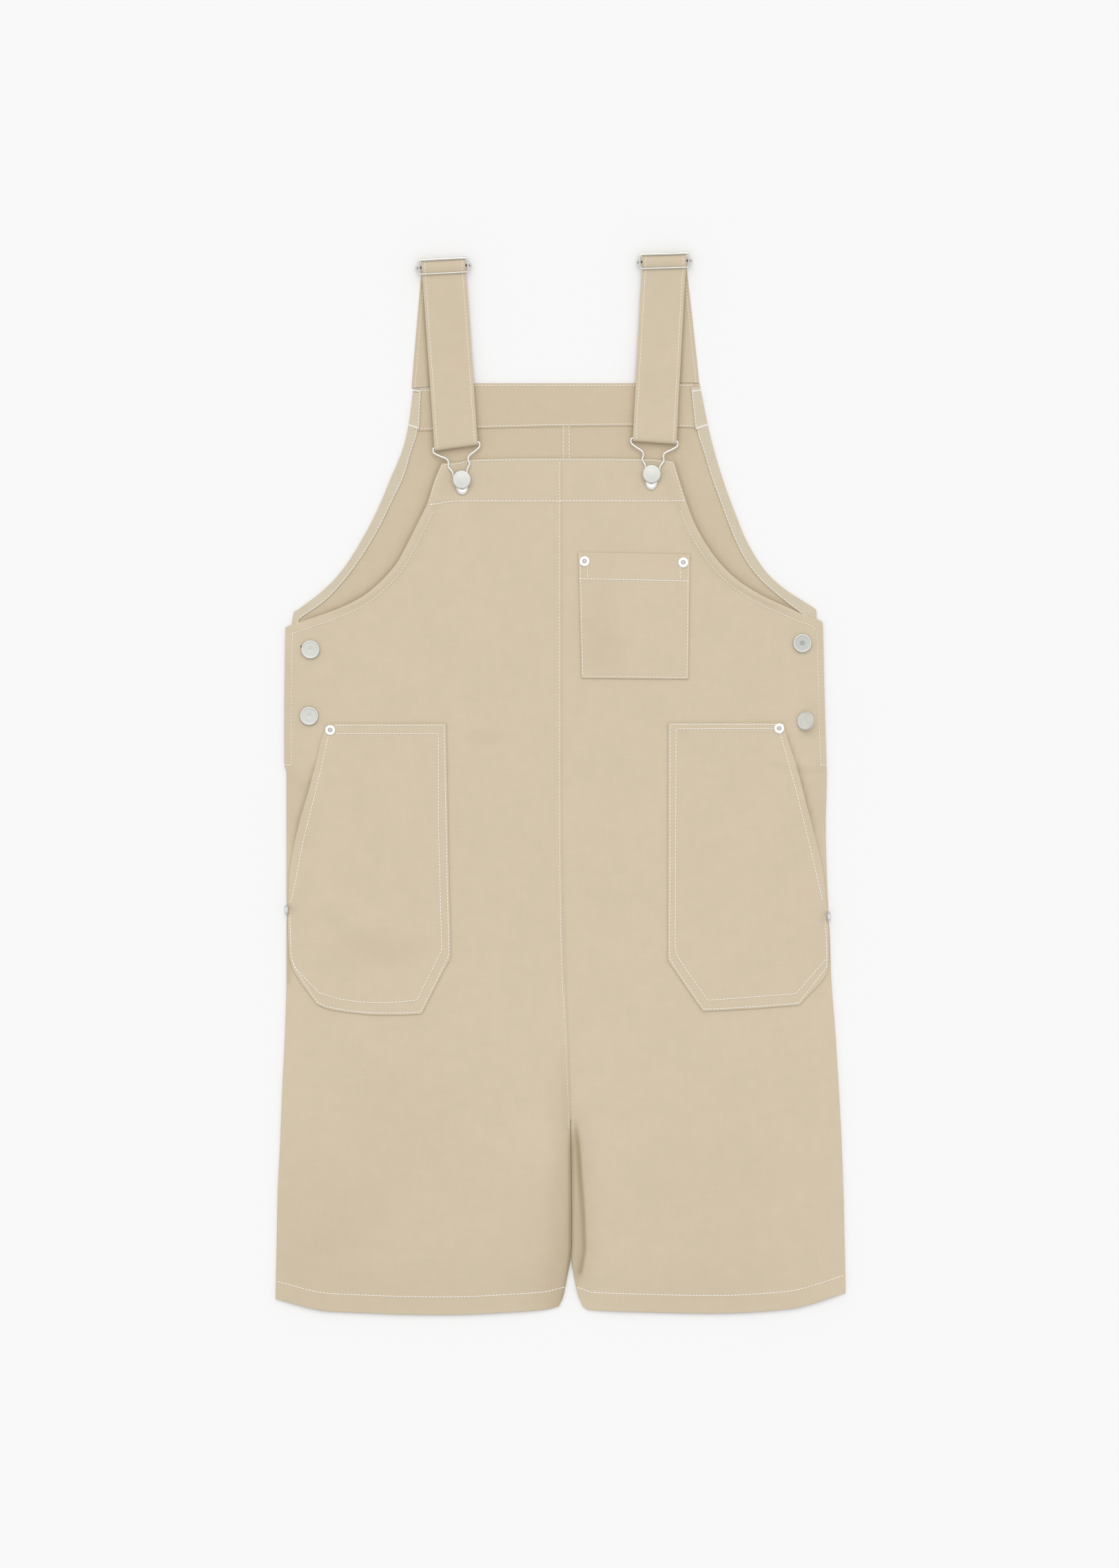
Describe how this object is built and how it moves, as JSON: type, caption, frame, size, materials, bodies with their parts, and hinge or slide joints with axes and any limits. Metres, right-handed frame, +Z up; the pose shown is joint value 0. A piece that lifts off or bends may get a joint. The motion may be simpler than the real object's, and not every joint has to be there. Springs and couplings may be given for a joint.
{
  "type": "shortalls",
  "caption": "Bib-and-brace shortalls in plain cotton drill, laid flat with the front up, with hip and chest pockets, adjustable straps, wire hooks and metal buttons.",
  "frame": {"origin": "the middle of the garment's outline on the surface it lies on", "axes": "+Z up out of the surface, through the front of the garment; +Y towards the straps; +X towards the wearer's left side, which is the right side of the plan"},
  "size_m": [0.5208, 0.9707, 0.0091],
  "materials": {
    "drill": "matte sand-coloured cotton drill, face side",
    "drill_inside": "matte sand-coloured cotton drill, inner side",
    "strap_drill": "matte sand-coloured cotton drill, folded and stitched into straps",
    "satin_metal": "pale satin nickel",
    "thread": "pale cream topstitching thread"
  },
  "bodies": {
    "root": {"back_band": "drill_inside", "back_panel_left": "drill_inside", "back_panel_right": "drill_inside", "back_band_end_left": "drill_inside", "back_band_end_right": "drill_inside", "back_armhole_facing_left": "drill_inside", "back_armhole_facing_right": "drill_inside", "front_panel_left": "drill", "front_panel_right": "drill", "hip_pocket_left": "drill", "hip_pocket_right": "drill", "chest_pocket": "drill", "strap_left": "strap_drill", "strap_right": "strap_drill", "hook_left": "satin_metal", "hook_right": "satin_metal", "slider_frame_left": "satin_metal", "slider_frame_right": "satin_metal", "slider_bar_left": "satin_metal", "slider_bar_right": "satin_metal", "bib_button_left": "satin_metal", "bib_button_right": "satin_metal", "side_button_upper_left": "satin_metal", "side_button_lower_left": "satin_metal", "side_button_upper_right": "satin_metal", "side_button_lower_right": "satin_metal", "hip_pocket_rivet_left": "satin_metal", "hip_pocket_rivet_right": "satin_metal", "side_rivet_left": "satin_metal", "side_rivet_right": "satin_metal", "chest_pocket_rivet_left": "satin_metal", "chest_pocket_rivet_right": "satin_metal"}
  },
  "joints": []
}
